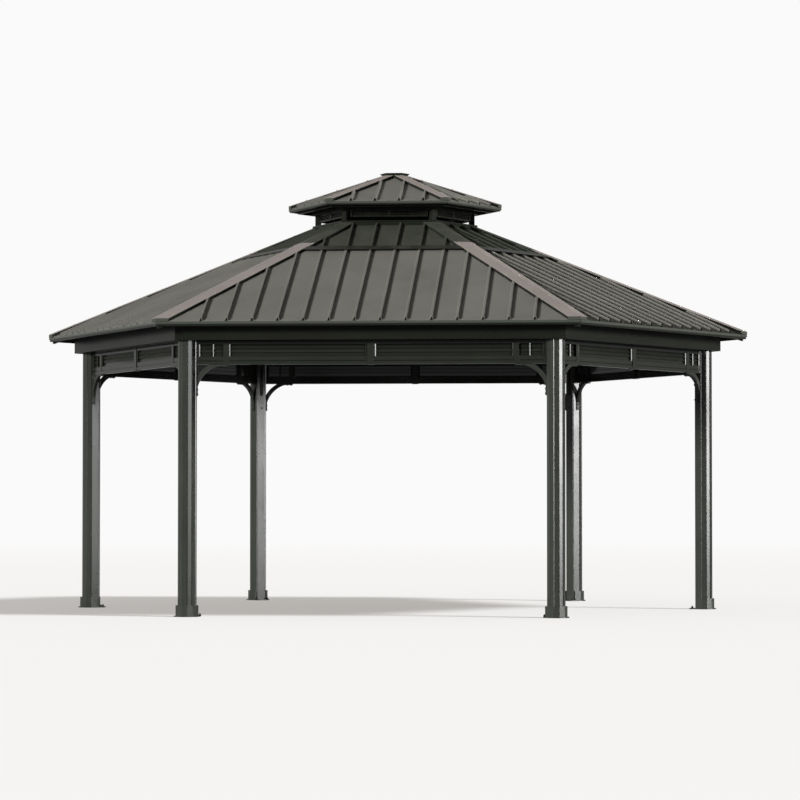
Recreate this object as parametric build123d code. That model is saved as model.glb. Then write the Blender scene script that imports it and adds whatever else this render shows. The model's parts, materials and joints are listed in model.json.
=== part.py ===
from build123d import *
from math import acos, atan2, cos, degrees, radians, sin, sqrt
import os

# Hexagonal metal gazebo with a ribbed hip roof and a louvred cupola. Millimetres, +Z up,
# floor at z = 0, centre of the post circle at the origin, the long front side facing -Y.
# A ring is a hexagon on the six corner directions, named by its corner radius.

# Plan: six posts on one circle, front and back sides longer than the four slanted ones
POST_CIRCLE_R = 2550.0
FRONT_HALF_SHARE = 0.556          # half of the front side over the circle's radius
CORNERS = ["right", "back_right", "back_left", "left", "front_left", "front_right"]
SIDES = ["right_back", "back", "left_back", "left_front", "front", "right_front"]
MITRE_GAP = 2.0

# Posts: hollow extrusions of facets parted by grooves, flat towards the inside
POST_REACH = 70.0                 # centre of the post to each of its flats
POST_TOP_Z = 2127.0
POST_WALL = 6.0
POST_GROOVE_W = 5.0               # along each of the two facets that a groove parts
POST_GROOVE_D = 5.0
POST_OUTER_FACET_TURNS = [0, 29, -29, 58, -58, 88, -88]

# Post bases: flanged plate on the floor, collar around the outer facets of the post
PLATE_REACH, PLATE_INNER_REACH, PLATE_T = 99.0, 120.0, 8.0
ANCHOR_REACH, ANCHOR_SPREAD, ANCHOR_R = 95.0, 96.0, 6.5
COLLAR_REACH, COLLAR_WALL, COLLAR_H, COLLAR_LIP_T = 85.0, 3.0, 80.0, 5.0
COLLAR_PLAY = 0.5

# Header ring on the posts with the fascia boards on its outer face
HEADER_INSIDE, HEADER_OUTSIDE, HEADER_H, HEADER_WALL = 55.0, 115.0, 113.0, 4.0
FASCIA_T, FASCIA_DROP, FASCIA_RISE = 28.0, 6.0, 6.0

# Frieze panels hung under the header between the posts
FRIEZE_H, FRIEZE_T, FRIEZE_POST_PLAY = 191.0, 36.0, 3.0
TOP_RAIL_H, TOP_BEAD_H, TOP_BEAD_T = 24.0, 11.0, 31.0
LOW_BAND_H, LOW_GROOVE_H, LOW_GROOVE_T, LOW_STEP_H, LOW_STEP_T = 24.0, 7.0, 22.0, 31.0, 30.0
END_PANE_W, STILE_W, STILE_T, EDGE_W = 208.0, 40.0, 34.0, 14.0
MULLION_W, MULLION_T, MULLION_DROP = 54.0, 40.0, 4.0
BEAD_W, BEAD_T, BEAD_RIDGE_H, BEAD_SINK = 13.0, 28.0, 3.8, 3.0
END_BAR_SHARE = 0.385             # place of the bar across the end pane, from its stile
BOARD_COUNT, BOARD_T, BOARD_LEAN = 3, 4.0, 8.0

# Curved braces, two at each post: crescents that leave the corner behind them open
BRACE_R, BRACE_BAND, BRACE_T = 236.0, 36.0, 24.0
BRACE_TIP_CUT = 20.0              # pointed ends cut off under the pads
BRACE_PAD_L, BRACE_PAD_H, BRACE_PAD_LAP = 66.0, 10.0, 6.0

# Lower roof: six planes, measured at the top face of the sheet between its ribs
SEAT_H, SEAT_W, SEAT_INSIDE, SEAT_L = 93.0, 60.0, 20.0, 110.0
RAFTER_W, RAFTER_D = 50.0, 60.0
ROOF_RISE_SHARE = 0.394           # rise over run along a hip
EAVE_OVERHANG = 209.0             # from the fascia's corner to the edge of the sheet
SHEET_T = 3.0
RIB_COUNT, RIB_PITCH_SHARE = 14, 0.0606   # pitch over the length of the eave
RIB_BASE_W, RIB_TOP_W, RIB_H = 32.0, 15.0, 24.0
SHEET_HIP_GAP, SHEET_LAP_GAP = 12.0, 8.0
FLASHING_OUTSIDE = 631.0          # from the curb's corner to the joint of the two sheets
FLASHING_UP, FLASHING_DOWN, FLASHING_T = 46.0, 34.0, 3.0
TRIM_H, TRIM_DEPTH = 35.0, 24.0
NOSE_H, NOSE_T, NOSE_ROUND = 21.0, 9.0, 6.0
HIP_CAP_HALF_W, HIP_CAP_T = 82.0, 3.0
PURLIN_W, PURLIN_D, PURLIN_INSIDE = 40.0, 36.0, 400.0

# Cupola: curb with a sill, short posts, louvre panels, ring beam
CURB_R, CURB_T, CURB_DROP = 683.0, 75.0, 100.0
SILL_H, SILL_NOSE = 14.0, 6.0
CUPOLA_POST_INSIDE, CUPOLA_POST_W, CUPOLA_POST_WALL, CUPOLA_POST_H = 43.0, 46.0, 3.0, 88.0
RING_OUTSIDE = 9.0
LOUVRE_T, LOUVRE_RAIL_H, LOUVRE_RAIL_T, LOUVRE_STILE_W = 26.0, 10.0, 20.0, 14.0
LOUVRE_MULLION_W, LOUVRE_COUNT, LOUVRE_BLADE_T, LOUVRE_POST_PLAY = 22.0, 3, 3.0, 16.0
LOUVRE_H = 56.0                   # hung from the ring beam, open below

# Upper roof on the cupola, with a flat cap
UPPER_OVERHANG, UPPER_RISE_SHARE, UPPER_LIFT = 188.0, 0.315, 31.0
UPPER_RIB_COUNT = 4
UPPER_TRIM_H, UPPER_TRIM_DEPTH = 28.0, 18.0
UPPER_CAP_HALF_W = 48.0
UPPER_RAFTER_W, UPPER_RAFTER_D = 36.0, 30.0
UPPER_FASCIA_INSIDE, UPPER_FASCIA_T, UPPER_FASCIA_DROP = 66.0, 20.0, 13.0
HUB_R, HUB_DROP = 118.0, 12.0
SKIRT_INSIDE, SKIRT_H, TOP_PLATE_OUTSIDE, TOP_PLATE_T = 8.0, 10.0, 3.0, 9.0

# Rings and levels that follow from the sizes above
HEADER_IN_R = POST_CIRCLE_R - HEADER_INSIDE
HEADER_OUT_R = POST_CIRCLE_R + HEADER_OUTSIDE
HEADER_TOP_Z = POST_TOP_Z + HEADER_H
FASCIA_OUT_R = HEADER_OUT_R + FASCIA_T
FRIEZE_BOTTOM_Z = POST_TOP_Z - FRIEZE_H
EAVE_R = FASCIA_OUT_R + EAVE_OVERHANG
EAVE_Z = HEADER_TOP_Z + SEAT_H + RAFTER_D + SHEET_T - (EAVE_R - POST_CIRCLE_R) * ROOF_RISE_SHARE
ROOF_TOP_Z = EAVE_Z + (EAVE_R - CURB_R) * ROOF_RISE_SHARE
FLASHING_R = CURB_R + FLASHING_OUTSIDE
CAP_TOP = RIB_H + HIP_CAP_T       # top of a hip cap over the sheet
CURB_IN_R = CURB_R - CURB_T
SILL_Z = ROOF_TOP_Z + CAP_TOP
CURB_TOP_Z = SILL_Z + SILL_H
CUPOLA_POST_R = CURB_R - CUPOLA_POST_INSIDE
RING_Z = CURB_TOP_Z + CUPOLA_POST_H
UPPER_EAVE_R = CURB_R + RING_OUTSIDE + UPPER_OVERHANG
UPPER_EAVE_Z = RING_Z + UPPER_LIFT + UPPER_TRIM_H
SKY_Z = 2 * UPPER_EAVE_Z          # height of the cutting prisms

SIDE_COUNT = len(SIDES)
CORNER_TURN = degrees(acos(FRONT_HALF_SHARE))
CORNER_TURNS = [0, CORNER_TURN, 180 - CORNER_TURN, 180, 180 + CORNER_TURN, 360 - CORNER_TURN]
UP = Vector(0, 0, 1)


def outward(i):
    """Unit vector from the centre towards corner i."""
    turn = radians(CORNER_TURNS[i % SIDE_COUNT])
    return Vector(cos(turn), sin(turn), 0)


def along(i):
    """Unit vector along side i, from corner i to corner i + 1."""
    return (outward(i + 1) - outward(i)).normalized()


def inward(i):
    """Unit vector square to side i, pointing at the centre."""
    return (outward(i) + outward(i + 1)).normalized() * -1


def side_share(i):
    """Distance of side i from the centre over its corner radius."""
    return ((outward(i) + outward(i + 1)) / 2).length


def side_length(i, ring_r):
    return (outward(i + 1) - outward(i)).length * ring_r


def side_plane(i, ring_r, z):
    """Upright plane on side i of a ring: x along the side, y up, z outward."""
    middle = (outward(i) + outward(i + 1)) * (ring_r / 2) + UP * z
    return Plane(origin=middle, x_dir=along(i), z_dir=inward(i) * -1)


def end_plane(i, ring_r, half):
    """Upright plane square to side i, half a length before its middle: x outward, y up."""
    origin = side_plane(i, ring_r, 0).origin - along(i) * half
    return Plane(origin=origin, x_dir=inward(i) * -1, z_dir=along(i) * -1)


def outline(plane, points):
    return plane * make_face(Polyline(*points, close=True))


def hexagon(ring_r, low_z, high_z):
    """Upright prism on the six corners of a ring."""
    points = [outward(i) * ring_r for i in range(SIDE_COUNT)]
    return extrude(outline(Plane.XY.offset(low_z), [(p.X, p.Y) for p in points]), high_z - low_z)


def bay(i, gap):
    """Upright wedge over side i, its cheeks half a gap short of the corner planes."""
    half_angle_sine = sqrt(1 - side_share(i) ** 2)
    tip = inward(i) * (-gap / 2 / half_angle_sine)
    far = 2 * EAVE_R
    points = [tip, tip + outward(i) * far, tip + outward(i + 1) * far]
    return extrude(outline(Plane.XY, [(p.X, p.Y) for p in points]), SKY_Z)


def side_bar(i, section, gap=MITRE_GAP):
    """Bar along side i, mitred at the corner planes. Section points are (ring radius, z)."""
    half = side_length(i, EAVE_R)
    face = outline(end_plane(i, 0, half), [(r * side_share(i), z) for r, z in section])
    return extrude(face, amount=2 * half, dir=along(i)) & bay(i, gap)


def ring_section(inner_r, outer_r, low_z, high_z):
    return [(inner_r, low_z), (outer_r, low_z), (outer_r, high_z), (inner_r, high_z)]


class Roof:
    """Six planes rising from a level eave to a level top edge."""

    def __init__(self, eave_r, eave_z, top_r, rise_share):
        self.eave_r, self.eave_z, self.top_r, self.rise_share = eave_r, eave_z, top_r, rise_share

    def z(self, ring_r):
        return self.eave_z + (self.eave_r - ring_r) * self.rise_share

    def sheet(self, i, low_r, high_r, rib_places):
        """Folded ribbed sheet of side i between two rings, trimmed along the hips."""
        half = side_length(i, low_r) / 2
        over, under = [(-half, 0)], [(-half, -SHEET_T)]
        for x in rib_places:
            if abs(x) + RIB_BASE_W > half:
                continue
            for turn, width, lift in ((-1, RIB_BASE_W, 0), (-1, RIB_TOP_W, RIB_H),
                                      (1, RIB_TOP_W, RIB_H), (1, RIB_BASE_W, 0)):
                over.append((x + turn * width / 2, lift))
                under.append((x + turn * (width / 2 - SHEET_T), lift - SHEET_T))
        over.append((half, 0))
        under.append((half, -SHEET_T))
        face = outline(side_plane(i, low_r, self.z(low_r)), over + under[::-1])
        slope = (inward(i) + UP * (self.rise_share / side_share(i))).normalized()
        run = (low_r - high_r) * side_share(i)
        return extrude(face, amount=run / sqrt(1 - slope.Z ** 2), dir=slope) & bay(i, SHEET_HIP_GAP)

    def hip_bar(self, i, outer_r, inner_r, half_w, high, low):
        """Bar along hip i that keeps to both roof planes, between two heights over the sheet."""
        across = UP.cross(outward(i))
        plane = Plane(origin=outward(i) * outer_r + UP * self.z(outer_r), x_dir=across, z_dir=outward(i))
        falls = [self.rise_share / side_share(side) * inward(side).dot(across) * turn * half_w
                 for side, turn in ((i - 1, -1), (i, 1))]
        section = [(-half_w, high + falls[0]), (0, high), (half_w, high + falls[1]),
                   (half_w, low + falls[1]), (0, low), (-half_w, low + falls[0])]
        rise = (outward(i) * -1 + UP * self.rise_share).normalized()
        length = (outer_r - inner_r) / sqrt(1 - rise.Z ** 2)
        return extrude(outline(plane, section), amount=length, dir=rise)

    def fitted_hip_bar(self, i, outer_r, inner_r, half_w, high, low):
        """Hip bar with its ends cut to the sides of an outer and an inner ring."""
        bar = self.hip_bar(i, outer_r + half_w, inner_r - half_w, half_w, high, low)
        return (bar & hexagon(outer_r, 0, SKY_Z)) - hexagon(inner_r, 0, SKY_Z)

    def rafter(self, i, width, depth, trim_depth):
        high, low = -SHEET_T, -SHEET_T - depth
        return self.fitted_hip_bar(i, self.eave_r - trim_depth, self.top_r, width / 2, high, low)

    def hip_cap(self, i, half_w):
        """Cover over the rib ends along hip i, folded down at the eave."""
        edge = self.eave_r + NOSE_T
        cover = self.fitted_hip_bar(i, edge, self.top_r, half_w, CAP_TOP, RIB_H)
        return cover + self.fitted_hip_bar(i, edge, edge - HIP_CAP_T, half_w, CAP_TOP, 0)

    def edge_trim(self, i, height, depth):
        """Edge board under the sheet with a rounded nose along its top."""
        edge, inner = self.eave_r, self.eave_r - depth
        top = self.z(edge) - SHEET_T
        low = top - height
        nose = [(edge + NOSE_T - NOSE_ROUND, top), (edge + NOSE_T, top - NOSE_ROUND),
                (edge + NOSE_T, top - NOSE_H + NOSE_ROUND), (edge + NOSE_T - NOSE_ROUND, top - NOSE_H)]
        return side_bar(i, [(inner, low), (inner, self.z(inner) - SHEET_T), (edge, top)] + nose
                        + [(edge, top - NOSE_H), (edge, low)])

    def purlin(self, i, ring_r):
        """Bar under the sheet across side i, between two hip rafters."""
        near, far = ring_r + PURLIN_W / 2, ring_r - PURLIN_W / 2
        top = [(near, self.z(near) - SHEET_T), (far, self.z(far) - SHEET_T)]
        return side_bar(i, top + [(r, z - PURLIN_D) for r, z in top[::-1]], RAFTER_W)


lower = Roof(EAVE_R, EAVE_Z, CURB_R, ROOF_RISE_SHARE)
upper = Roof(UPPER_EAVE_R, UPPER_EAVE_Z, HUB_R, UPPER_RISE_SHARE)


def facet_ring(turns, reach, inner_reach=None):
    """Corners of a polygon with a facet square to each turn, all at one reach but the inner one."""
    reaches = [inner_reach if inner_reach and t == 180 else reach for t in turns]
    points = []
    for k, b in enumerate(turns):
        a, near, far = turns[k - 1], reaches[k - 1], reaches[k]
        spread = sin(radians(b - a))
        points.append(((near * sin(radians(b)) - far * sin(radians(a))) / spread,
                       (far * cos(radians(a)) - near * cos(radians(b))) / spread))
    return points


def grooved_ring(turns, reach):
    """The polygon of facets with a groove cut at each corner."""
    corners = [Vector(x, y, 0) for x, y in facet_ring(turns, reach)]
    points = []
    for k, corner in enumerate(corners):
        before, after = corners[k - 1], corners[(k + 1) % len(corners)]
        points.append(corner + (before - corner).normalized() * POST_GROOVE_W)
        points.append(corner - corner.normalized() * POST_GROOVE_D)
        points.append(corner + (after - corner).normalized() * POST_GROOVE_W)
    return [(p.X, p.Y) for p in points]


def post_turns(i):
    """Facet turns of post i from its outward direction: outer facets, a flat to each side, one inside."""
    turns = list(POST_OUTER_FACET_TURNS) + [180]
    for way in (along(i), along(i - 1) * -1):
        turns.append(degrees(atan2(way.Y, way.X)) - CORNER_TURNS[i])
    return sorted(t % 360 for t in turns)


def post_plane(i, z):
    return Plane(origin=outward(i) * POST_CIRCLE_R + UP * z, x_dir=outward(i), z_dir=UP)


def post(i):
    turns, foot = post_turns(i), post_plane(i, PLATE_T)
    shell = outline(foot, grooved_ring(turns, POST_REACH))
    core = outline(foot, facet_ring(turns, POST_REACH - POST_WALL))
    return extrude(shell - core, POST_TOP_Z - PLATE_T)


def post_base(i):
    turns, floor = post_turns(i), post_plane(i, 0)
    plate = outline(floor, facet_ring(turns, PLATE_REACH, PLATE_INNER_REACH))
    for turn in (-1, 1):
        plate -= floor * Pos(-ANCHOR_REACH, turn * ANCHOR_SPREAD / 2) * Circle(ANCHOR_R)
    outer = outline(floor, facet_ring(turns, COLLAR_REACH, POST_REACH))
    hollow = outline(floor, facet_ring(turns, COLLAR_REACH - COLLAR_WALL, PLATE_INNER_REACH))
    throat = outline(floor, facet_ring(turns, POST_REACH + COLLAR_PLAY, PLATE_INNER_REACH))
    collar = extrude(outer - hollow, PLATE_T + COLLAR_H)
    lip = Pos(0, 0, PLATE_T + COLLAR_H - COLLAR_LIP_T) * extrude(outer - throat, COLLAR_LIP_T)
    return extrude(plate, PLATE_T) + collar + lip


def slab(plane, x, width, low, high, depth):
    """Upright block centred on a side plane: its middle and width along the side, two heights, a depth."""
    left, right = x - width / 2, x + width / 2
    face = outline(plane.offset(-depth / 2), [(left, low), (right, low), (right, high), (left, high)])
    return extrude(face, depth)


def bead(plane, x, low, high):
    """Slim upright bar with a ridge along its front and its back."""
    foot = Plane(origin=plane.from_local_coords(Vector(x, low, 0)), x_dir=plane.x_dir, z_dir=UP)
    edge, ridge = BEAD_W / 2, BEAD_T / 2
    shoulder = ridge - BEAD_RIDGE_H
    section = [(edge, -shoulder), (edge, shoulder), (0, ridge),
               (-edge, shoulder), (-edge, -shoulder), (0, -ridge)]
    return extrude(outline(foot, section), high - low)


def frieze(i):
    """Panel under the header: rails, stiles, middle mullion, beads and lapped boards."""
    plane = side_plane(i, POST_CIRCLE_R, 0)
    half = side_length(i, POST_CIRCLE_R) / 2 - POST_REACH - FRIEZE_POST_PLAY
    low, top = FRIEZE_BOTTOM_Z, POST_TOP_Z
    groove_z, step_z = low + LOW_BAND_H, low + LOW_BAND_H + LOW_GROOVE_H
    pane_low, pane_top = step_z + LOW_STEP_H, top - TOP_RAIL_H - TOP_BEAD_H
    panel = slab(plane, 0, 2 * half, top - TOP_RAIL_H, top, FRIEZE_T)
    panel += slab(plane, 0, 2 * half, pane_top, top - TOP_RAIL_H, TOP_BEAD_T)
    panel += slab(plane, 0, 2 * half, low, groove_z, FRIEZE_T)
    panel += slab(plane, 0, 2 * half, groove_z, step_z, LOW_GROOVE_T)
    panel += slab(plane, 0, 2 * half, step_z, pane_low, LOW_STEP_T)
    panel += slab(plane, 0, MULLION_W, low - MULLION_DROP, top, MULLION_T)
    for turn in (-1, 1):
        stile = turn * (half - END_PANE_W - STILE_W / 2)
        edge = turn * (half - EDGE_W / 2)
        panel += slab(plane, stile, STILE_W, low, top, STILE_T)
        panel += slab(plane, edge, EDGE_W, low, top, STILE_T)
        end_bar = stile + turn * (STILE_W / 2 + END_PANE_W * END_BAR_SHARE)
        places = [turn * (MULLION_W + BEAD_W) / 2, stile - turn * (STILE_W + BEAD_W) / 2,
                  end_bar, edge - turn * (EDGE_W + BEAD_W) / 2]
        for x in places:
            panel += bead(plane, x, pane_low - BEAD_SINK, pane_top + BEAD_SINK)
    board_h = (pane_top - pane_low) / BOARD_COUNT
    front = [(BOARD_LEAN / 2 * (1 - 2 * step), pane_low + (k + step) * board_h)
             for k in range(BOARD_COUNT) for step in (0, 1)]
    front[0] = (BOARD_LEAN / 2, pane_low - BOARD_T)
    back = [(x - BOARD_T, z + BOARD_T) for x, z in front[::-1]]
    boards = outline(end_plane(i, POST_CIRCLE_R, half), front + back)
    return panel + extrude(boards, amount=2 * half, dir=along(i))


def braces(i):
    """Two crescent straps with end pads, from the flats of post i up to the friezes on both sides."""
    straps = []
    for side, turn in ((i, 1), (i - 1, -1)):
        plane = side_plane(side, POST_CIRCLE_R, 0).offset(-BRACE_T / 2)
        post_x = -turn * (side_length(side, POST_CIRCLE_R) / 2 - POST_REACH)
        x, z, top = post_x + turn * BRACE_R, FRIEZE_BOTTOM_Z - BRACE_R, FRIEZE_BOTTOM_Z
        tip_x, tip_z = x - turn * BRACE_TIP_CUT, z + BRACE_TIP_CUT
        corner = make_face(Polyline((tip_x, tip_z), (post_x, tip_z), (post_x, top), (tip_x, top), close=True))
        crescent = corner & (Pos(x, z) * (Circle(BRACE_R + BRACE_BAND) - Circle(BRACE_R)))
        solid = extrude(plane * crescent, BRACE_T)
        low = z - BRACE_PAD_LAP
        pad_x, pad_top = post_x + turn * BRACE_PAD_H, low + BRACE_PAD_L
        foot = [(post_x, low), (pad_x, low), (pad_x, pad_top), (post_x, pad_top)]
        far_x = x + turn * BRACE_PAD_LAP
        start_x, pad_low = far_x - turn * BRACE_PAD_L, top - BRACE_PAD_H
        head = [(start_x, top), (start_x, pad_low), (far_x, pad_low), (far_x, top)]
        for pad in (foot, head):
            solid += extrude(outline(plane, pad), BRACE_T)
        straps.append(solid)
    return straps


def header(i):
    tube = side_bar(i, ring_section(HEADER_IN_R, HEADER_OUT_R, POST_TOP_Z, HEADER_TOP_Z))
    core = ring_section(HEADER_IN_R + HEADER_WALL, HEADER_OUT_R - HEADER_WALL,
                        POST_TOP_Z + HEADER_WALL, HEADER_TOP_Z - HEADER_WALL)
    return tube - side_bar(i, core, 0)


def fascia(i):
    low, top = POST_TOP_Z - FASCIA_DROP, HEADER_TOP_Z + FASCIA_RISE
    return side_bar(i, ring_section(HEADER_OUT_R, FASCIA_OUT_R, low, top))


def rafter_seat(i):
    """Block on the header that carries a hip rafter."""
    start = POST_CIRCLE_R - SEAT_INSIDE
    foot = outward(i) * start + UP * HEADER_TOP_Z
    plane = Plane(origin=foot, x_dir=UP.cross(outward(i)), z_dir=outward(i))
    tall = lower.z(start) - HEADER_TOP_Z
    face = outline(plane, [(-SEAT_W / 2, 0), (SEAT_W / 2, 0), (SEAT_W / 2, tall), (-SEAT_W / 2, tall)])
    return extrude(face, SEAT_L) - lower.hip_bar(i, EAVE_R, CURB_R, SEAT_W, SKY_Z, -SHEET_T - RAFTER_D)


def flashing(i):
    """Strip over the rib tops where the upper sheet laps the lower one."""
    edge = [(r, lower.z(r) + RIB_H) for r in (FLASHING_R + FLASHING_DOWN, FLASHING_R - FLASHING_UP)]
    return side_bar(i, edge + [(r, z + FLASHING_T) for r, z in edge[::-1]], 2 * HIP_CAP_HALF_W + MITRE_GAP)


def cupola_curb(i):
    section = ring_section(CURB_IN_R, CURB_R, ROOF_TOP_Z - CURB_DROP, SILL_Z)[:3]
    section += [(CURB_R + SILL_NOSE, SILL_Z), (CURB_R + SILL_NOSE, CURB_TOP_Z), (CURB_IN_R, CURB_TOP_Z)]
    return side_bar(i, section)


def cupola_post(i):
    foot = Plane(origin=outward(i) * CUPOLA_POST_R + UP * CURB_TOP_Z, x_dir=outward(i), z_dir=UP)
    inside = CUPOLA_POST_W - 2 * CUPOLA_POST_WALL
    tube = Rectangle(CUPOLA_POST_W, CUPOLA_POST_W) - Rectangle(inside, inside)
    return extrude(foot * tube, CUPOLA_POST_H)


def louvre(i):
    """Vent panel between two cupola posts: frame, middle mullion and sloping blades."""
    plane = side_plane(i, CUPOLA_POST_R, 0)
    half = side_length(i, CUPOLA_POST_R) / 2 - CUPOLA_POST_W / 2 - LOUVRE_POST_PLAY
    low, top = RING_Z - LOUVRE_H, RING_Z
    panel = slab(plane, 0, LOUVRE_MULLION_W, low, top, LOUVRE_T)
    for turn in (-1, 1):
        panel += slab(plane, turn * (half - LOUVRE_STILE_W / 2), LOUVRE_STILE_W, low, top, LOUVRE_T)
    for rail in (low, top - LOUVRE_RAIL_H):
        panel += slab(plane, 0, 2 * half, rail, rail + LOUVRE_RAIL_H, LOUVRE_RAIL_T)
    pitch = (top - low - 2 * LOUVRE_RAIL_H) / LOUVRE_COUNT
    reach = (LOUVRE_RAIL_T - LOUVRE_BLADE_T) / 2
    for k in range(LOUVRE_COUNT):
        foot = low + LOUVRE_RAIL_H - LOUVRE_BLADE_T / 2 + k * pitch
        edge = [(reach, foot), (-reach, foot + pitch)]
        blade = outline(end_plane(i, CUPOLA_POST_R, half - LOUVRE_STILE_W / 2),
                        edge + [(x, z + LOUVRE_BLADE_T) for x, z in edge[::-1]])
        panel += extrude(blade, amount=2 * half - LOUVRE_STILE_W, dir=along(i))
    return panel


def under_upper_rafters(inner_r, outer_r, low_z):
    """Ring section whose top keeps to the underside of the upper rafters."""
    drop = SHEET_T + UPPER_RAFTER_D
    return [(inner_r, low_z), (outer_r, low_z)] + [(r, upper.z(r) - drop) for r in (outer_r, inner_r)]


def cupola_ring(i):
    return side_bar(i, under_upper_rafters(CURB_IN_R, CURB_R + RING_OUTSIDE, RING_Z))


def upper_fascia(i):
    outer_r = UPPER_EAVE_R - UPPER_FASCIA_INSIDE
    low = UPPER_EAVE_Z - SHEET_T - UPPER_TRIM_H - UPPER_FASCIA_DROP
    return side_bar(i, under_upper_rafters(outer_r - UPPER_FASCIA_T, outer_r, low))


HUB_TOP_Z = upper.z(HUB_R) + CAP_TOP


def crown_hub():
    return hexagon(HUB_R, upper.z(HUB_R) - SHEET_T - UPPER_RAFTER_D - HUB_DROP, HUB_TOP_Z)


def top_cap():
    """Flat plate on a shorter upright skirt."""
    skirt = hexagon(HUB_R - SKIRT_INSIDE, HUB_TOP_Z, HUB_TOP_Z + SKIRT_H)
    plate_z = HUB_TOP_Z + SKIRT_H
    return skirt + hexagon(HUB_R + TOP_PLATE_OUTSIDE, plate_z, plate_z + TOP_PLATE_T)


def rib_places(i, count):
    pitch = side_length(i, EAVE_R) * RIB_PITCH_SHARE
    return [(k - (count - 1) / 2) * pitch for k in range(count)]


def lower_sheets(i):
    """Two lapped sheets of side i, parted under the flashing."""
    places = rib_places(i, RIB_COUNT)
    return [lower.sheet(i, EAVE_R, FLASHING_R + SHEET_LAP_GAP / 2, places),
            lower.sheet(i, FLASHING_R - SHEET_LAP_GAP / 2, CURB_R, places)]


def upper_sheet(i):
    return upper.sheet(i, UPPER_EAVE_R, HUB_R, rib_places(i, UPPER_RIB_COUNT))


def save(name, *solids):
    shape = solids[0] if len(solids) == 1 else Compound(children=list(solids))
    export_step(shape, f"parts/{name}.step")


os.makedirs("parts", exist_ok=True)
every = range(SIDE_COUNT)

for i in every:
    save(f"post_{CORNERS[i]}", post(i))
    save(f"braces_{CORNERS[i]}", *braces(i))
    save(f"frieze_{SIDES[i]}", frieze(i))
    save(f"roof_sheets_{SIDES[i]}", *lower_sheets(i))

save("post_bases", *[post_base(i) for i in every])
save("header_beams", *[header(i) for i in every])
save("fascia_boards", *[fascia(i) for i in every])
save("rafter_seats", *[rafter_seat(i) for i in every])
save("hip_rafters", *[lower.rafter(i, RAFTER_W, RAFTER_D, TRIM_DEPTH) for i in every])
save("purlins", *[lower.purlin(i, r) for r in (POST_CIRCLE_R - PURLIN_INSIDE, FLASHING_R) for i in every])
save("eave_trim", *[lower.edge_trim(i, TRIM_H, TRIM_DEPTH) for i in every])
save("hip_caps", *[lower.hip_cap(i, HIP_CAP_HALF_W) for i in every])
save("roof_flashing", *[flashing(i) for i in every])

save("cupola_curb", *[cupola_curb(i) for i in every])
save("cupola_posts", *[cupola_post(i) for i in every])
save("cupola_louvres", *[louvre(i) for i in every])
save("cupola_ring", *[cupola_ring(i) for i in every])

save("upper_rafters", *[upper.rafter(i, UPPER_RAFTER_W, UPPER_RAFTER_D, UPPER_TRIM_DEPTH) for i in every])
save("upper_fascia", *[upper_fascia(i) for i in every])
save("upper_eave_trim", *[upper.edge_trim(i, UPPER_TRIM_H, UPPER_TRIM_DEPTH) for i in every])
save("upper_roof_sheets", *[upper_sheet(i) for i in every])
save("upper_hip_caps", *[upper.hip_cap(i, UPPER_CAP_HALF_W) for i in every])
save("crown_hub", crown_hub())
save("top_cap", top_cap())
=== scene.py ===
import json
import math

import bmesh
import bpy
from mathutils import Matrix, Vector


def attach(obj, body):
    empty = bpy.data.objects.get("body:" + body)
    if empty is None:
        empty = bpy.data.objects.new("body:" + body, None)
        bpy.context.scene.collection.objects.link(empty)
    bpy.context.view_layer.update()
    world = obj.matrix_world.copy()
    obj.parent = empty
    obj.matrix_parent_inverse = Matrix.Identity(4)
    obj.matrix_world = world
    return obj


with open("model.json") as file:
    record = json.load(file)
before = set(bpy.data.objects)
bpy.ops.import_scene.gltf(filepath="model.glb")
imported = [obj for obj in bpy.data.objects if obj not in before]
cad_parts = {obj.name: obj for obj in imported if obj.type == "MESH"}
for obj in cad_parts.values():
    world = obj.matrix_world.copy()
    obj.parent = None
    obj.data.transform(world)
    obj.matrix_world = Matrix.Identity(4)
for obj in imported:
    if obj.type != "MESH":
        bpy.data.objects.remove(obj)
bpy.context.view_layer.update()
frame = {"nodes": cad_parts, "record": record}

# Plan of the gazebo, in metres, as the frame has it: corner 0 on +X, then turning towards +Y
POST_CIRCLE_R = 2.550
FRONT_HALF_SHARE = 0.556
CORNERS = ["right", "back_right", "back_left", "left", "front_left", "front_right"]
SIDES = ["right_back", "back", "left_back", "left_front", "front", "right_front"]
UP = Vector((0, 0, 1))
POST_REACH = 0.070
PLATE_TOP_Z = 0.008
ANCHOR_REACH, ANCHOR_SPREAD = 0.095, 0.096
BRACE_R, BRACE_PAD_H, BRACE_PAD_LAP = 0.236, 0.010, 0.006
FRIEZE_BOTTOM_Z = 1.936
RIB_H, CAP_TOP = 0.024, 0.027

# Heights over the floor of the borders of the lip bands and of the painted shade under the upper roof, in
# metres
SHEET_LAP_Z, CAP_TONE_Z, CUPOLA_MIDDLE_Z = 2.884, 2.960, 3.230
LOWER_LIP_LOW_Z, UPPER_LIP_LOW_Z, RIDGE_Z = 2.2330, 3.2960, 4.0
LOWER_FOLD, UPPER_FOLD = (2.2500, 2.2790), (3.3100, 3.3420)

# Fasteners, in metres: radius, lower and upper height, and the bevel of the upper rim
ANCHOR_WASHER = (0.0120, 0.0, 0.0025, 0.0006)
ANCHOR_NUT = (0.0098, 0.0025, 0.0105, 0.0014)
ANCHOR_STUD = (0.0050, 0.0, 0.0170, 0.0010)
SCREW_R, SCREW_SINK, SCREW_H, SCREW_DOME = 0.0068, 0.001, 0.0042, 0.0022
SCREW_RIM, SCREW_RECESS_SHARE = 0.0016, 0.6
ROOF_WASHER = (0.0085, -0.001, 0.0022, 0.0010)
ROOF_HEAD = (0.0052, 0.0022, 0.0070, 0.0010)
WASHER_POINTS, ROUND_POINTS, HEXAGON_POINTS = 24, 16, 6
BRACE_SCREW_STEPS = (0.014, 0.050)

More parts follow.
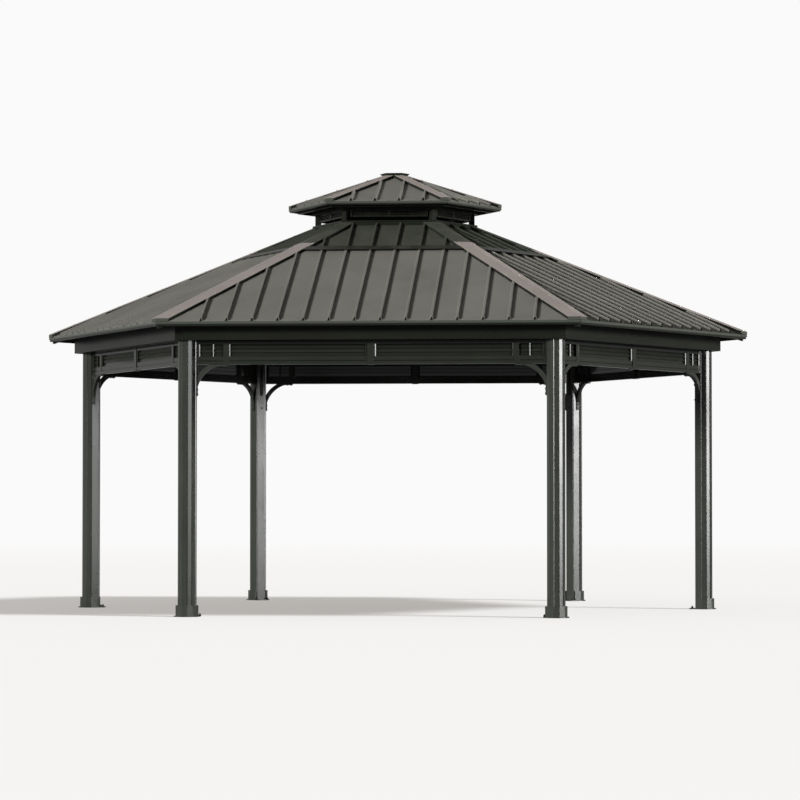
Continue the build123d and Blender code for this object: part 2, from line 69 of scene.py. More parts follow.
# Cover strip on a post's inner face, and the screws in it and under it, in metres
COVER_W, COVER_T, COVER_SINK, COVER_BEVEL = 0.026, 0.004, 0.001, 0.0010
COVER_LOW_Z, COVER_TOP_Z = 1.830, 2.100
COVER_END_SHARE, COVER_END_STEPS = 0.49, 6
COVER_SCREW_Z, LOW_SCREW_Z = 1.845, 1.720

# Closure strips under the wings of the hip caps, in metres
CLOSURE_W, CLOSURE_INSET, CLOSURE_END_GAP = 0.012, 0.009, 0.004
CLOSURE_SINK, CLOSURE_LAP = 0.001, 0.0015
CLOSURE_BEVEL_SHARE = 0.08

BEVEL_STEPS = 2
NEAR = 1e-5
SMOOTH_UNDER = math.radians(40)

# Camera: a long lens a little over the floor, turned a few degrees off the front side
CAMERA_PLACE = (2.361, -27.087, 0.896)
CAMERA_YAW, CAMERA_PITCH = 0.08537, 0.0305
FOCAL_PIXELS, FRAME_PIXELS, SENSOR_MM = 3276.5, 800, 36.0
CAMERA_SIGHT = 300.0

# Colours, linear
FRAME_COAT = (0.0088, 0.0099, 0.0072)
FRIEZE_COAT = (0.0145, 0.0162, 0.0122)
POST_COAT = (0.0230, 0.0255, 0.0210)
LIP_COAT = (0.0450, 0.0500, 0.0400)
ROOF_COAT = (0.1290, 0.1262, 0.1112)
# Painted shade: sheets and caps under the upper roof get this darker coat as if they lay in its shadow
UPPER_ROOF_SHADE_COAT = (0.0360, 0.0400, 0.0305)
TRIM_COAT = (0.2150, 0.1880, 0.1720)
FOAM = (0.0120, 0.0130, 0.0110)
DUST = (0.220, 0.205, 0.185)
BARE_METAL = (0.300, 0.300, 0.290)
BLACK_ZINC = (0.060, 0.060, 0.058)
FLOOR_WHITE = (0.935, 0.945, 0.955)
FLOOR_GLOW = (0.955, 0.912, 0.868)
BACKGROUND = (0.955, 0.955, 0.955)
WHITE = (1.0, 1.0, 1.0)

# Coats: how tone and roughness drift, how painted shade darkens recesses, and how dust and worn edges
# change them
TONE_LOW, TONE_HIGH = 0.88, 1.12
ROUGH_DOWN, ROUGH_UP, DUST_ROUGH = 0.04, 0.05, 0.3
RECESS_SHADE_TONE, RECESS_SHADE_REACH, WORN_TONE = 0.15, 0.055, 0.5
GRAIN_SCALE, GRAIN_H, DRIFT_SCALE, SPLASH_H = 700.0, 0.0004, 2.2, 0.4
FINE_EDGE_R = 0.0007

# Floor, in metres; glow is the background's own white, bounce is what the object gets of its colour
FLOOR_R, FLOOR_POINTS, FLOOR_FADE_FROM, FLOOR_FADE_TO = 90.0, 96, 9.0, 40.0
FLOOR_GLOW_SHARE, FLOOR_BOUNCE = 0.43, 0.3

# Surroundings: ambient light, and what gloss shows from front to back and from left to right
AMBIENT = 0.24
MIRROR_FRONT, MIRROR_BACK, MIRROR_RIGHT_SHARE = 0.10, 0.35, 0.5
FRONT_TO_BACK, LEFT_TO_RIGHT = (-0.7, 0.3), (-0.5, 0.8)
# Bright panels that only gloss shows: degrees from +X, from one edge to the other, and brightness
PANELS = [(-29.0, -19.0, 15.0), (-38.0, -32.0, 17.0), (-58.0, -40.0, 3.6)]
PANEL_TOP_SHARE, PANEL_SOFT_DEGREES = 0.16, 1.0

# Lamps: name, strength, soft angle in degrees, and the way that the light comes from
KEY = ("key_from_left_front", 6.0, 10.0, (-6.330, -7.544, 1.736))
RIGHT_LIGHT = ("light_from_right", 7.5, 10.0, (9.750, 1.720, 1.390))
BACK_FILL = ("fill_from_behind", 2.4, 10.0, (0.0, 9.660, 2.588))
FLOOR_SUN = ("sun_on_floor", 2.92, 12.0, (8.0, -2.9, 10.1))
# Sheets that the light from the right leaves out, so that their ribs keep a dark side
SHADED_SHEETS = ["roof_sheets_front", "roof_sheets_right_front"]


def corner_turn(i):
    turn = math.acos(FRONT_HALF_SHARE)
    turns = [0, turn, math.pi - turn, math.pi, math.pi + turn, 2 * math.pi - turn]
    return turns[i % len(CORNERS)]


def outward(i):
    """Unit vector from the centre to corner i."""
    return Vector((math.cos(corner_turn(i)), math.sin(corner_turn(i)), 0))


def across(i):
    """Unit vector square to corner i's direction, towards the next corner."""
    return UP.cross(outward(i))


def along(i):
    """Unit vector along side i, from corner i to corner i + 1."""
    return (outward(i + 1) - outward(i)).normalized()


def facing(i):
    """Unit vector square to side i, away from the centre."""
    return (outward(i) + outward(i + 1)).normalized()


def side_share(i):
    """Distance of side i from the centre over its corner radius."""
    return ((outward(i) + outward(i + 1)) / 2).length


# Shader building

MIX_SHARE, MIX_A, MIX_B, MIX_RESULT = 0, 6, 7, 2      # sockets of a colour mix, by place


class Tree:
    """A node tree with short ways to add nodes, link sockets and set values."""

    def __init__(self, tree):
        self.tree = tree

    def add(self, kind, **values):
        node = self.tree.nodes.new("ShaderNode" + kind)
        for key, value in values.items():
            setattr(node, key, value)
        return node

    def put(self, value, socket):
        """Links an output to a socket, or sets the socket to a plain value."""
        if isinstance(value, bpy.types.NodeSocket):
            self.tree.links.new(value, socket)
        else:
            socket.default_value = value

    def feed(self, node, **sockets):
        """Sets or links the inputs of a node by socket name, with _ for a space."""
        for name, value in sockets.items():
            self.put(value, node.inputs[name.replace("_", " ")])
        return node

    def math(self, operation, a, b=0.0, clamp=False):
        node = self.add("Math", operation=operation, use_clamp=clamp)
        self.put(a, node.inputs[0])
        self.put(b, node.inputs[1])
        return node.outputs[0]

    def blend(self, share, a, b, mode="MIX"):
        """Mixes two colours by a share."""
        node = self.add("Mix", data_type="RGBA", blend_type=mode)
        self.put(share, node.inputs[MIX_SHARE])
        self.put(a, node.inputs[MIX_A])
        self.put(b, node.inputs[MIX_B])
        return node.outputs[MIX_RESULT]

    def join(self, share, a, b):
        """Mixes two shaders by a share."""
        node = self.add("MixShader")
        for socket, value in zip(node.inputs, (share, a, b)):
            self.put(value, socket)
        return node.outputs[0]

    def ramp(self, value, low, high, to_low=0.0, to_high=1.0):
        node = self.add("MapRange")
        self.feed(node, Value=value, From_Min=low, From_Max=high, To_Min=to_low, To_Max=to_high)
        return node.outputs[0]

    def noise(self, place, scale, detail, rough=0.5):
        node = self.add("TexNoise")
        self.feed(node, Vector=place, Scale=scale, Detail=detail, Roughness=rough)
        return node.outputs[0]

    def split(self, vector):
        """Outputs X, Y and Z of a vector."""
        return self.feed(self.add("SeparateXYZ"), Vector=vector).outputs

    def object_place(self):
        return self.add("TexCoord").outputs["Object"]

    def surface_normal(self):
        return self.add("NewGeometry").outputs["Normal"]

    def place_effect(self, tree, **values):
        """An effect group placed in a material with its own values; returns its outputs."""
        return self.feed(self.add("Group", node_tree=tree), **values).outputs


def rgba(colour, lift=1.0):
    return (colour[0] * lift, colour[1] * lift, colour[2] * lift, 1.0)


def effect(name, inputs, outputs):
    """Empty shader group with float or vector sockets; returns its tree, inputs and end node."""
    tree = bpy.data.node_groups.new(name, "ShaderNodeTree")
    for word, value in inputs:
        socket = tree.interface.new_socket(word, in_out="INPUT", socket_type="NodeSocketFloat")
        socket.default_value = value
    for word, kind in outputs:
        tree.interface.new_socket(word, in_out="OUTPUT", socket_type="NodeSocket" + kind)
    ends_in = tree.nodes.new("NodeGroupInput").outputs
    return Tree(tree), ends_in, tree.nodes.new("NodeGroupOutput")


def coat_grain_effect():
    """Fine orange peel of a sprayed coat with a slow drift of tone over it."""
    t, given, result = effect(
        "coat_grain",
        [("Grain Scale", 900.0), ("Drift Scale", 3.0)],
        [("Height", "Float"), ("Drift", "Float")])
    place = t.object_place()
    fine = t.noise(place, given["Grain Scale"], detail=2.0)
    drift = t.noise(place, given["Drift Scale"], detail=4.0, rough=0.6)
    t.feed(result, Height=fine, Drift=t.ramp(drift, low=0.3, high=0.7))
    return t.tree


def settled_dust_effect():
    """Mask of dust: on faces that look up, in the low splash zone, broken by noise."""
    t, given, result = effect(
        "settled_dust",
        [("On Top", 0.3), ("Splash", 0.3), ("Splash Height", 0.35)],
        [("Mask", "Float")])
    place = t.object_place()
    looks_up = t.ramp(t.split(t.surface_normal())["Z"], low=0.55, high=0.98)
    on_top = t.math("MULTIPLY", looks_up, given["On Top"])
    height = t.math("DIVIDE", t.split(place)["Z"], given["Splash Height"])
    low = t.ramp(height, low=1.0, high=0.0)
    splash = t.math("MULTIPLY", t.math("MULTIPLY", low, low), given["Splash"])
    patches = t.ramp(t.noise(place, scale=7.0, detail=5.0, rough=0.65), low=0.32, high=0.72)
    settled = t.math("ADD", on_top, splash, clamp=True)
    t.feed(result, Mask=t.math("MULTIPLY", settled, patches, clamp=True))
    return t.tree


def edge_wear_effect():
    """Rounded edge normal, and a mask of the edges where the coat has thinned."""
    t, given, result = effect(
        "edge_wear",
        [("Radius", 0.002), ("Amount", 0.5)],
        [("Normal", "Vector"), ("Mask", "Float")])
    bevel = t.feed(t.add("Bevel", samples=4), Radius=given["Radius"])
    agreement = t.add("VectorMath", operation="DOT_PRODUCT")
    t.put(bevel.outputs[0], agreement.inputs[0])
    t.put(t.surface_normal(), agreement.inputs[1])
    turned = t.ramp(agreement.outputs["Value"], low=0.995, high=0.86)
    specks = t.noise(t.object_place(), scale=60.0, detail=4.0, rough=0.7)
    chips = t.ramp(specks, low=0.45, high=0.7)
    mask = t.math("MULTIPLY", t.math("MULTIPLY", turned, chips), given["Amount"], clamp=True)
    t.feed(result, Normal=bevel.outputs[0], Mask=mask)
    return t.tree


def recess_shade_effect():
    """Mask of narrow recesses, for painted shade where little light comes in."""
    t, given, result = effect(
        "recess_shade",
        [("Reach", 0.03), ("Amount", 0.6)],
        [("Mask", "Float")])
    hollow = t.feed(t.add("AmbientOcclusion", samples=8), Distance=given["Reach"])
    closed = t.ramp(hollow.outputs["AO"], low=0.98, high=0.55)
    t.feed(result, Mask=t.math("MULTIPLY", closed, given["Amount"], clamp=True))
    return t.tree


def height_band_effect():
    """Mask of the surface between two heights over the floor, with sharp borders."""
    t, given, result = effect(
        "height_band",
        [("Low", 0.0), ("High", 1.0)],
        [("Mask", "Float")])
    height = t.split(t.object_place())["Z"]
    over = t.math("GREATER_THAN", height, given["Low"])
    under = t.math("LESS_THAN", height, given["High"])
    t.feed(result, Mask=t.math("MULTIPLY", over, under))
    return t.tree


COAT_GRAIN = coat_grain_effect()
SETTLED_DUST = settled_dust_effect()
EDGE_WEAR = edge_wear_effect()
RECESS_SHADE = recess_shade_effect()
HEIGHT_BAND = height_band_effect()


def coated_metal(name, coat, rough, specular, grain=0.10, dust_on_top=0.15, splash=0.0, wear=0.15,
                 bands=(), recess=0.0, edge_r=0.0022, metallic=0.0):
    """Satin sprayed coat on metal: grain, drift of tone, dust and thinned edges.

    A band is another coat between two heights, such as a lip, or painted shade on the strip under the
    upper roof.
    Recess is how far painted shade darkens narrow recesses.
    """
    material = bpy.data.materials.new(name)
    material.use_nodes = True
    t = Tree(material.node_tree)
    shader = material.node_tree.nodes["Principled BSDF"]
    coating = t.place_effect(COAT_GRAIN, Grain_Scale=GRAIN_SCALE, Drift_Scale=DRIFT_SCALE)
    dust = t.place_effect(SETTLED_DUST, On_Top=dust_on_top, Splash=splash, Splash_Height=SPLASH_H)
    edges = t.place_effect(EDGE_WEAR, Radius=edge_r, Amount=wear)
    tone = t.blend(coating["Drift"], rgba(coat, TONE_LOW), rgba(coat, TONE_HIGH))
    for band_coat, low, high in bands:
        tone = t.blend(t.place_effect(HEIGHT_BAND, Low=low, High=high)["Mask"], tone, rgba(band_coat))
    # Painted shade: narrow recesses are darkened as if little light reached them
    if recess:
        hollow = t.place_effect(RECESS_SHADE, Reach=RECESS_SHADE_REACH, Amount=recess)
        tone = t.blend(hollow["Mask"], tone, rgba(coat, RECESS_SHADE_TONE))
    dusty = t.blend(dust["Mask"], tone, rgba(DUST))
    worn = t.blend(edges["Mask"], dusty, rgba(BARE_METAL, WORN_TONE))
    spread = t.ramp(coating["Drift"], 0.0, 1.0, to_low=rough - ROUGH_DOWN, to_high=rough + ROUGH_UP)
    dust_rough = t.math("MULTIPLY", dust["Mask"], DUST_ROUGH)
    roughness = t.math("ADD", spread, dust_rough, clamp=True)
    bump = t.feed(t.add("Bump"), Strength=grain, Distance=GRAIN_H, Height=coating["Height"],
                  Normal=edges["Normal"])
    t.feed(shader, Base_Color=worn, Roughness=roughness, Normal=bump.outputs[0])
    t.feed(shader, Specular_IOR_Level=specular, Metallic=metallic)
    return material


POST_PAINT = coated_metal("post_gloss_coat", POST_COAT, rough=0.17, specular=0.8, grain=0.01,
                          dust_on_top=0.05, splash=0.04, edge_r=FINE_EDGE_R)
# Its recess value paints shade into the frieze's board laps and corners
FRIEZE_PAINT = coated_metal("frieze_satin_coat", FRIEZE_COAT, rough=0.14, specular=0.6, grain=0.02,
                            dust_on_top=0.10, wear=0.10, recess=0.9, edge_r=FINE_EDGE_R)
FRAME_PAINT = coated_metal("frame_satin_coat", FRAME_COAT, rough=0.30, specular=0.20)
BRACE_PAINT = coated_metal("brace_satin_coat", POST_COAT, rough=0.25, specular=0.4, grain=0.02,
                           dust_on_top=0.10, wear=0.10, edge_r=FINE_EDGE_R)
CUPOLA_PAINT = coated_metal("cupola_post_coat", FRAME_COAT, rough=0.45, specular=0.08)
# Its recess value paints shade into the louvres' narrow gaps
LOUVRE_PAINT = coated_metal("louvre_satin_coat", FRAME_COAT, rough=0.25, specular=0.35, grain=0.05,
                            dust_on_top=0.10, wear=0.10, recess=0.9)
# Its band is painted shade on the sheets under the upper roof
ROOF_PAINT = coated_metal("roof_sheet_coat", ROOF_COAT, rough=0.45, specular=0.1,
                          bands=[(UPPER_ROOF_SHADE_COAT, SHEET_LAP_Z, CUPOLA_MIDDLE_Z)])
# Its first band is painted shade on the caps under the upper roof
TRIM_PAINT = coated_metal("roof_cap_coat", TRIM_COAT, rough=0.48, specular=0.06, wear=0.20,
                          bands=[(UPPER_ROOF_SHADE_COAT, CAP_TONE_Z, CUPOLA_MIDDLE_Z),
                                 (LIP_COAT, *LOWER_FOLD), (LIP_COAT, *UPPER_FOLD)])
LOWER_LIP_PAINT = coated_metal("eave_coat", FRAME_COAT, rough=0.30, specular=0.35,
                               bands=[(LIP_COAT, LOWER_LIP_LOW_Z, RIDGE_Z)])
UPPER_LIP_PAINT = coated_metal("upper_eave_coat", FRAME_COAT, rough=0.30, specular=0.35,
                               bands=[(LIP_COAT, UPPER_LIP_LOW_Z, RIDGE_Z)])
FOAM_STRIP = coated_metal("closure_foam", FOAM, rough=0.85, specular=0.1, grain=0.60,
                          dust_on_top=0.10, wear=0.0)
ANCHOR_ZINC = coated_metal("anchor_black_zinc", BLACK_ZINC, rough=0.42, specular=0.5, grain=0.15,
                           dust_on_top=0.05, splash=0.05, wear=0.30, edge_r=0.0005, metallic=1.0)
PAINTS = {"post_paint": POST_PAINT, "frame_paint": FRAME_PAINT, "roof_paint": ROOF_PAINT,
          "trim_paint": TRIM_PAINT}
OWN_PAINTS = {"eave_trim": LOWER_LIP_PAINT, "upper_eave_trim": UPPER_LIP_PAINT,
              "cupola_louvres": LOUVRE_PAINT, "cupola_posts": CUPOLA_PAINT}
OWN_PAINTS.update({"frieze_" + side: FRIEZE_PAINT for side in SIDES})
OWN_PAINTS.update({"braces_" + corner: BRACE_PAINT for corner in CORNERS})

for subpart in frame["record"]["subparts"]:
    node = frame["nodes"][subpart["node"]]
    node.data.materials.clear()
    node.data.materials.append(OWN_PAINTS.get(subpart["node"], PAINTS[subpart["material_slot"]]))


# New pieces: each is modelled once at the origin, then copied to its places


def deselect():
    bpy.ops.object.select_all(action="DESELECT")


def open_mesh(piece, kind):
    """Edit mode on one piece, with nothing selected."""
    deselect()
    bpy.context.view_layer.objects.active = piece
    piece.select_set(True)
    bpy.ops.object.mode_set(mode="EDIT")
    bpy.ops.mesh.select_mode(type=kind)
    bpy.ops.mesh.select_all(action="DESELECT")


def close_mesh():
    bpy.ops.object.mode_set(mode="OBJECT")


def bevel_edges(piece, test, offset, steps):
    """Bevels the edges of the open mesh whose two ends pass a test of their places."""
    bpy.ops.mesh.select_all(action="DESELECT")
    mesh = bmesh.from_edit_mesh(piece.data)
    for edge in mesh.edges:
        edge.select_set(test(*(v.co for v in edge.verts)))
    bmesh.update_edit_mesh(piece.data)
    bpy.ops.mesh.bevel(offset=offset, segments=steps, affect="EDGES")


def pick_top_face(piece):
    """Selects the highest face of the open mesh that looks up, the largest of several."""
    mesh = bmesh.from_edit_mesh(piece.data)
    level = [face for face in mesh.faces if face.normal.z > 0.9]
    top = max(level, key=lambda face: (face.calc_center_median().z, face.calc_area()))
    top.select_set(True)
    bmesh.update_edit_mesh(piece.data)


def turned_disc(points, radius, low_z, high_z, rim):
    """Round or hexagonal disc on the z axis with its upper rim bevelled."""
    deselect()
    bpy.ops.mesh.primitive_cylinder_add(vertices=points, radius=radius, depth=high_z - low_z,
                                        location=(0, 0, (low_z + high_z) / 2))
    disc = bpy.context.object
    bpy.ops.object.transform_apply(location=True, rotation=True, scale=True)
    open_mesh(disc, "EDGE")
    bevel_edges(disc, lambda a, b: min(a.z, b.z) > high_z - NEAR, rim, BEVEL_STEPS)
    close_mesh()
    return disc


def plain_bar(size, centre):
    """Bar at its size and place."""
    deselect()
    bpy.ops.mesh.primitive_cube_add(size=1.0, location=centre, scale=size)
    bar = bpy.context.object
    bpy.ops.object.transform_apply(location=True, rotation=True, scale=True)
    return bar


def one_mesh(parts):
    deselect()
    for part in parts:
        part.select_set(True)
    bpy.context.view_layer.objects.active = parts[0]
    bpy.ops.object.join()
    return parts[0]


def standing(place, axis, side_way):
    """Matrix that stands a model's z axis on a place along an axis."""
    z = axis.normalized()
    x = (side_way - z * side_way.dot(z)).normalized()
    return framed(x, z.cross(x), z, place)


def framed(x, y, z, place):
    """Matrix with the three vectors as its axes and a place as its origin."""
    matrix = Matrix((x, y, z)).transposed().to_4x4()
    matrix.translation = place
    return matrix


def copies(name, model, matrices, material):
    """One piece of the model's copies at their places, with a mesh of its own."""
    parts = []
    for matrix in matrices:
        part = model.copy()
        part.data = model.data.copy()
        part.data.transform(matrix)
        if matrix.determinant() < 0:
            part.data.flip_normals()
        bpy.context.scene.collection.objects.link(part)
        parts.append(part)
    piece = one_mesh(parts)
    piece.name = piece.data.name = name
    bpy.ops.object.shade_smooth_by_angle(angle=SMOOTH_UNDER)
    piece.data.materials.clear()
    piece.data.materials.append(material)
    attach(piece, "root")
    return piece


def anchor_bolt():
    """Washer, hexagon nut and stud on a base plate."""
    washer = turned_disc(WASHER_POINTS, *ANCHOR_WASHER)
    nut = turned_disc(HEXAGON_POINTS, *ANCHOR_NUT)
    stud = turned_disc(ROUND_POINTS, *ANCHOR_STUD)
    return one_mesh([washer, nut, stud])


def socket_screw():
    """Domed screw head with a driver recess, its seat on z = 0."""
    head = turned_disc(ROUND_POINTS, SCREW_R, -SCREW_SINK, SCREW_H, SCREW_DOME)
    open_mesh(head, "FACE")
    pick_top_face(head)
    bpy.ops.mesh.inset(thickness=SCREW_RIM)
    recess = (0, 0, -SCREW_RECESS_SHARE * SCREW_H)
    bpy.ops.mesh.extrude_region_move(TRANSFORM_OT_translate={"value": recess})
    close_mesh()
    return head


def roof_screw():
    """Hexagon screw head on a wide sealing washer."""
    washer = turned_disc(ROUND_POINTS, *ROOF_WASHER)
    head = turned_disc(HEXAGON_POINTS, *ROOF_HEAD)
    return one_mesh([washer, head])


def cover_strip():
    """Flat strip with a rounded lower end: x out of the post, y across, z up."""
    size = (COVER_T + COVER_SINK, COVER_W, COVER_TOP_Z - COVER_LOW_Z)
    strip = plain_bar(size, ((COVER_T - COVER_SINK) / 2, 0, (COVER_LOW_Z + COVER_TOP_Z) / 2))

    def end_corner(a, b):
        return max(a.z, b.z) < COVER_LOW_Z + NEAR and abs(a.x - b.x) > COVER_T / 2

    def outer_rim(a, b):
        return min(a.x, b.x) > COVER_T - NEAR

    open_mesh(strip, "EDGE")
    bevel_edges(strip, end_corner, COVER_END_SHARE * COVER_W, COVER_END_STEPS)
    bevel_edges(strip, outer_rim, COVER_BEVEL, BEVEL_STEPS)
    close_mesh()
    return strip


def closure_bar():
    """Unit bar with its upper edges bevelled: x across the hip, y up along it, z up."""
    bar = plain_bar((1, 1, 1), (0, 0.5, 0.5))
    open_mesh(bar, "EDGE")
    bevel_edges(bar, lambda a, b: min(a.z, b.z) > 0.5, CLOSURE_BEVEL_SHARE, BEVEL_STEPS)
    close_mesh()
    return bar


class RoofPlan:
    """Rings and rise of one of the two roofs, with places beside its hips."""

    def __init__(self, eave_r, eave_z, top_r, rise_share, cap_half_w, screws, screw_inset):
        self.eave_r, self.eave_z, self.top_r = eave_r, eave_z, top_r
        self.rise_share, self.cap_half_w = rise_share, cap_half_w
        self.screws, self.screw_inset = screws, screw_inset

    def side_of(self, i, turn):
        """The side that lies beside hip i, on the side that turn says."""
        return i if turn > 0 else i - 1

    def half_turn(self, side):
        return math.sqrt(1 - side_share(side) ** 2) / side_share(side)

    def beside_hip(self, i, turn, ring_r, offset, lift):
        """Place on a ring, an offset to one side of hip i and a lift over the sheet."""
        hip_r = ring_r - offset * self.half_turn(self.side_of(i, turn))
        height = self.eave_z + (self.eave_r - ring_r) * self.rise_share + lift
        return outward(i) * hip_r + across(i) * (turn * offset) + UP * height

    def normal(self, i, turn):
        side = self.side_of(i, turn)
        return (facing(side) * (self.rise_share / side_share(side)) + UP).normalized()

    def closure(self, i, turn):
        """Matrix of the unit closure bar under one wing of a hip cap."""
        middle = self.cap_half_w - CLOSURE_INSET
        start = self.beside_hip(i, turn, self.eave_r - CLOSURE_END_GAP, middle, -CLOSURE_SINK)
        run = self.eave_r - self.top_r - 2 * CLOSURE_END_GAP
        x = across(i) * turn - UP * (self.rise_share * self.half_turn(self.side_of(i, turn)))
        y = UP * self.rise_share - outward(i)
        return framed(x * CLOSURE_W, y * run, UP * (RIB_H + CLOSURE_LAP), start)

    def cap_screws(self, i):
        """Places of the screws in both wings of a hip cap."""
        places = []
        for turn in (-1, 1):
            for k in range(self.screws):
                share = (k + 0.5) / self.screws
                ring_r = self.eave_r + (self.top_r - self.eave_r) * share
                place = self.beside_hip(i, turn, ring_r, self.cap_half_w - self.screw_inset, CAP_TOP)
                places.append(standing(place, self.normal(i, turn), outward(i)))
        return places


ROOFS = {
    "": RoofPlan(eave_r=2.902, eave_z=2.2573, top_r=0.683, rise_share=0.394, cap_half_w=0.082,
                 screws=6, screw_inset=0.018),
    "upper_": RoofPlan(eave_r=0.880, eave_z=3.3196, top_r=0.118, rise_share=0.315, cap_half_w=0.048,
                       screws=3, screw_inset=0.013),
}


def brace_screws(i):
    """Places of the screws in the foot and head pads of both braces at post i."""
    places = []
    for side, turn in ((i, 1), (i - 1, -1)):
        middle = facing(side) * (side_share(side) * POST_CIRCLE_R)
        half_side = POST_CIRCLE_R * math.sqrt(1 - side_share(side) ** 2)
        inward = along(side) * turn
        post_x = POST_REACH - half_side
        head_x = post_x + BRACE_R + BRACE_PAD_LAP
        foot_z = FRIEZE_BOTTOM_Z - BRACE_R - BRACE_PAD_LAP
        for step in BRACE_SCREW_STEPS:
            foot = middle + inward * (post_x + BRACE_PAD_H) + UP * (foot_z + step)
            head = middle + inward * (head_x - step) + UP * (FRIEZE_BOTTOM_Z - BRACE_PAD_H)
            places.append(standing(foot, inward, UP))
            places.append(standing(head, -UP, along(side)))
    return places


def anchors(i):
    """Places of the bolts in the plate of post i."""
    middle = outward(i) * (POST_CIRCLE_R - ANCHOR_REACH) + UP * PLATE_TOP_Z
    sideways = across(i) * (ANCHOR_SPREAD / 2)
    return [standing(middle + sideways * turn, UP, outward(i)) for turn in (-1, 1)]


bolt, screw, cap_screw = anchor_bolt(), socket_screw(), roof_screw()
strip_model, bar_model = cover_strip(), closure_bar()
for i, corner in enumerate(CORNERS):
    copies("anchor_bolts_" + corner, bolt, anchors(i), ANCHOR_ZINC)
    inner_face = outward(i) * (POST_CIRCLE_R - POST_REACH)
    upright = framed(-outward(i), -across(i), UP, inner_face)
    copies("post_cover_strip_" + corner, strip_model, [upright], FRAME_PAINT)
    on_strip = inner_face - outward(i) * COVER_T + UP * COVER_SCREW_Z
    on_post = inner_face + UP * LOW_SCREW_Z
    post_screws = [standing(place, -outward(i), UP) for place in (on_strip, on_post)]
    copies("post_screws_" + corner, screw, post_screws, FRAME_PAINT)
    copies("brace_screws_" + corner, screw, brace_screws(i), FRAME_PAINT)
    for prefix, roof in ROOFS.items():
        closures = [roof.closure(i, turn) for turn in (-1, 1)]
        copies(prefix + "hip_closures_" + corner, bar_model, closures, FOAM_STRIP)
        copies(prefix + "hip_cap_screws_" + corner, cap_screw, roof.cap_screws(i), TRIM_PAINT)
for model in (bolt, screw, cap_screw, strip_model, bar_model):
    bpy.data.objects.remove(model)


# Floor, light and camera


def floor():
    """Pale disc that keeps the shadow, fades into the background and is clear from below."""
    deselect()
    bpy.ops.mesh.primitive_circle_add(vertices=FLOOR_POINTS, radius=FLOOR_R, fill_type="NGON")
    disc = bpy.context.object
    disc.name = "studio_floor"
    material = bpy.data.materials.new("studio_floor")
    material.use_nodes = True
    nodes = material.node_tree.nodes
    nodes.remove(nodes["Principled BSDF"])
    t = Tree(material.node_tree)
    to_camera = t.add("LightPath").outputs["Is Camera Ray"]
    white = t.blend(to_camera, rgba(FLOOR_WHITE, FLOOR_BOUNCE), rgba(FLOOR_WHITE))
    matt = t.feed(t.add("BsdfDiffuse"), Color=white)
    reach = t.add("VectorMath", operation="LENGTH")
    t.put(t.object_place(), reach.inputs[0])
    far = t.ramp(reach.outputs["Value"], FLOOR_FADE_FROM, FLOOR_FADE_TO)
    glow_share = t.math("MULTIPLY", t.ramp(far, 0.0, 1.0, to_low=FLOOR_GLOW_SHARE), to_camera)
    glow = t.feed(t.add("Emission"), Color=t.blend(far, rgba(FLOOR_GLOW), rgba(BACKGROUND)), Strength=1.0)
    upper_face = t.join(glow_share, matt.outputs[0], glow.outputs[0])
    from_below = t.add("NewGeometry").outputs["Backfacing"]
    surface = t.join(from_below, upper_face, t.add("BsdfTransparent").outputs[0])
    t.put(surface, nodes["Material Output"].inputs["Surface"])
    disc.data.materials.append(material)
    return disc


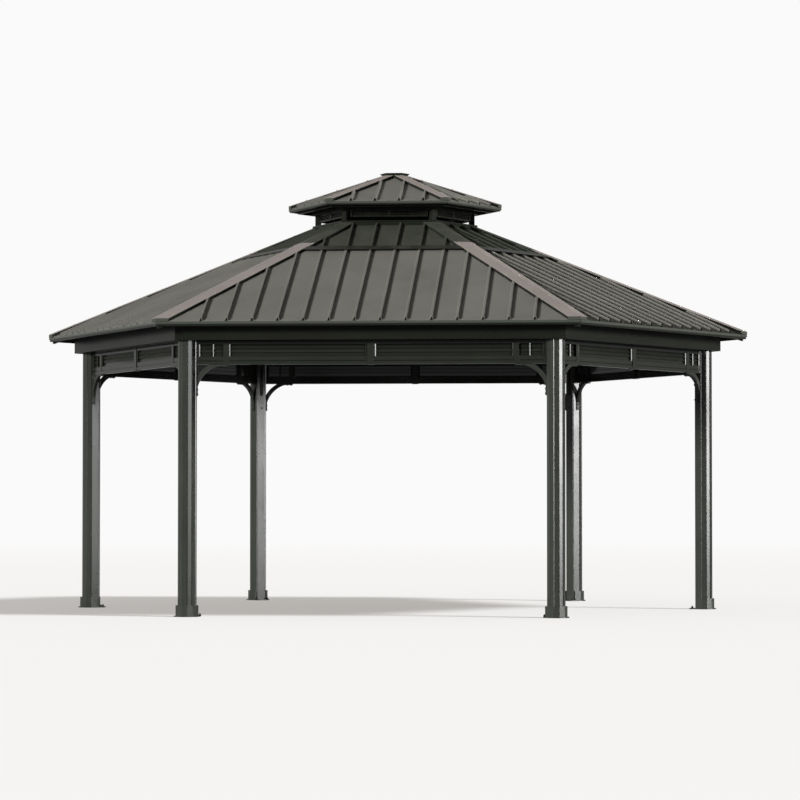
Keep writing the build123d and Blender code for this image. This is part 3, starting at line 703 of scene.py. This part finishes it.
def studio_world():
    """Plain pale surroundings; gloss shows the background and the studio's bright panels."""
    world = bpy.data.worlds.new("studio")
    bpy.context.scene.world = world
    world.use_nodes = True
    t = Tree(world.node_tree)
    way = t.split(t.add("TexCoord").outputs["Generated"])
    path = t.add("LightPath").outputs
    to_back = t.ramp(way["Y"], *FRONT_TO_BACK, to_low=MIRROR_FRONT, to_high=MIRROR_BACK)
    to_right = t.ramp(way["X"], *LEFT_TO_RIGHT, to_low=1.0, to_high=MIRROR_RIGHT_SHARE)
    mirrored = t.math("MULTIPLY", to_back, to_right)
    turn = t.math("DEGREES", t.math("ARCTAN2", way["Y"], way["X"]))
    level_way = t.math("LESS_THAN", t.math("ABSOLUTE", way["Z"]), PANEL_TOP_SHARE)
    soft = PANEL_SOFT_DEGREES
    for start, end, brightness in PANELS:
        rising = t.ramp(turn, start - soft, start + soft)
        falling = t.ramp(turn, end - soft, end + soft, to_low=1.0, to_high=0.0)
        panel = t.math("MULTIPLY", t.math("MULTIPLY", rising, falling), level_way)
        mirrored = t.math("ADD", mirrored, t.math("MULTIPLY", panel, brightness))
    level = t.blend(path["Is Glossy Ray"], rgba(WHITE, AMBIENT), mirrored)
    level = t.blend(path["Is Camera Ray"], level, rgba(WHITE))
    pale = t.blend(1.0, level, rgba(BACKGROUND), mode="MULTIPLY")
    t.feed(world.node_tree.nodes["Background"], Color=pale, Strength=1.0)


def sun(name, strength, soft_angle, come_from, lit):
    """Soft sun that lights one collection, and shows in no gloss."""
    data = bpy.data.lights.new(name, "SUN")
    data.energy = strength
    data.angle = math.radians(soft_angle)
    lamp = bpy.data.objects.new(name, data)
    lamp.visible_glossy = False
    lamp.light_linking.receiver_collection = lit
    bpy.context.scene.collection.objects.link(lamp)
    lamp.location = come_from
    lamp.rotation_euler = Vector(come_from).to_track_quat("Z", "Y").to_euler()


def camera():
    data = bpy.data.cameras.new("camera")
    data.sensor_width = SENSOR_MM
    data.lens = FOCAL_PIXELS / FRAME_PIXELS * SENSOR_MM
    data.clip_end = CAMERA_SIGHT
    view = bpy.data.objects.new("camera", data)
    view.location = CAMERA_PLACE
    view.rotation_euler = (math.pi / 2 + CAMERA_PITCH, 0.0, CAMERA_YAW)
    bpy.context.scene.collection.objects.link(view)
    bpy.context.scene.camera = view


def lit_group(name, members):
    group = bpy.data.collections.new(name)
    for member in members:
        group.objects.link(member)
    return group


shapes = [thing for thing in bpy.context.scene.objects if thing.type == "MESH"]
gazebo = lit_group("lit_gazebo", shapes)
right_side = lit_group("lit_right_side", [thing for thing in shapes if thing.name not in SHADED_SHEETS])
ground = lit_group("lit_floor", [floor()])
studio_world()
sun(*KEY, gazebo)
sun(*RIGHT_LIGHT, right_side)
sun(*BACK_FILL, gazebo)
sun(*FLOOR_SUN, ground)
camera()
bpy.context.scene.view_settings.view_transform = "Standard"
